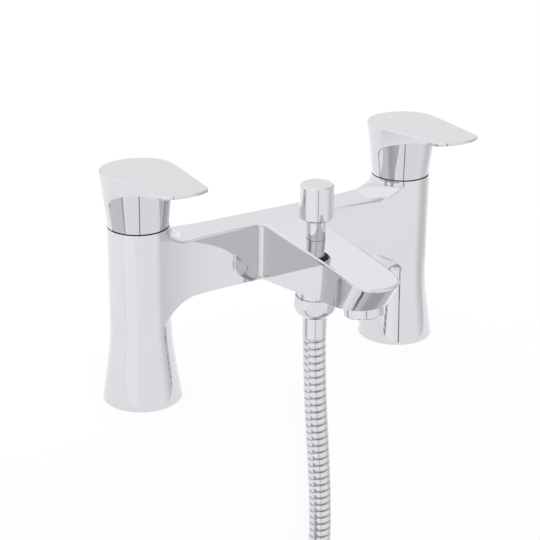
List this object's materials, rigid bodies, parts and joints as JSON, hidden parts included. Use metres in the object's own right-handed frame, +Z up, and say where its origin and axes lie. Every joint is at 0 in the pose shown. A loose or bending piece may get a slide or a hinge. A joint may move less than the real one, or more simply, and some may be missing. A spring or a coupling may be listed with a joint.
{
  "type": "bath shower mixer",
  "caption": "Deck bath mixer: two columns with lever valves, a bridge with a flat spout, a lift-up diverter and a hanging metal shower hose.",
  "frame": {"origin": "on the bath deck, midway between the two columns", "axes": "+Z up, the spout points along -Y, the hot column stands at -X and the cold one at +X"},
  "size_m": [0.2797, 0.1389, 0.4244],
  "materials": {
    "polished_chrome": "mirror polish",
    "hose_steel": "polished, spiral ribbed",
    "brass": "machined",
    "steel": "plain",
    "black_rubber": "matte",
    "red_fibre": "matte",
    "white_ceramic": "lapped",
    "white_plastic": "moulded",
    "clear_tie": "translucent film"
  },
  "bodies": {
    "mixer": {"aerator_housing": "polished_chrome", "aerator_insert": "white_plastic", "aerator_washer": "black_rubber", "body_casting": "polished_chrome", "check_valve": "white_plastic", "cold_backnut": "brass", "cold_base_gasket": "black_rubber", "cold_fixed_disc": "white_ceramic", "cold_head_seal": "black_rubber", "cold_headwork": "brass", "cold_inlet_tail": "brass", "cold_seat_seal": "black_rubber", "cold_tail_washer": "red_fibre", "diverter_bonnet": "polished_chrome", "diverter_spring": "steel", "far_ferrule": "polished_chrome", "far_nut": "polished_chrome", "far_washer": "black_rubber", "hose_coil": "hose_steel", "hose_ferrule": "polished_chrome", "hose_nut": "polished_chrome", "hose_washer": "black_rubber", "hot_backnut": "brass", "hot_base_gasket": "black_rubber", "hot_fixed_disc": "white_ceramic", "hot_head_seal": "black_rubber", "hot_headwork": "brass", "hot_inlet_tail": "brass", "hot_seat_seal": "black_rubber", "hot_tail_washer": "red_fibre", "lower_coil_tie": "clear_tie", "nipple_seal": "black_rubber", "outlet_nipple": "brass", "shower_hose": "hose_steel", "upper_coil_tie": "clear_tie"},
    "hot_control": {"hot_grub_screw": "steel", "hot_lever": "polished_chrome", "hot_spindle": "brass", "hot_spindle_clip": "steel", "hot_spline_insert": "white_plastic", "hot_turning_disc": "white_ceramic"},
    "cold_control": {"cold_grub_screw": "steel", "cold_lever": "polished_chrome", "cold_spindle": "brass", "cold_spindle_clip": "steel", "cold_spline_insert": "white_plastic", "cold_turning_disc": "white_ceramic"},
    "diverter": {"diverter_knob": "polished_chrome", "diverter_piston": "brass", "diverter_piston_seal": "black_rubber", "diverter_rod": "brass", "diverter_rod_seal": "black_rubber"}
  },
  "joints": [
    {"name": "hot_lever_turn", "type": "hinge", "parent": "mixer", "child": "hot_control", "pos_m": [-0.09, 0, 0.107], "axis": [0, 0, 1], "range_deg": [-90, 0]},
    {"name": "cold_lever_turn", "type": "hinge", "parent": "mixer", "child": "cold_control", "pos_m": [0.09, 0, 0.107], "axis": [0, 0, 1], "range_deg": [0, 90]},
    {"name": "diverter_lift", "type": "slide", "parent": "mixer", "child": "diverter", "axis": [0, 0, 1], "range_m": [0, 0.009], "stiffness_N_per_m": 150, "springref_m": -0.01, "deforming": ["diverter_spring"]}
  ]
}
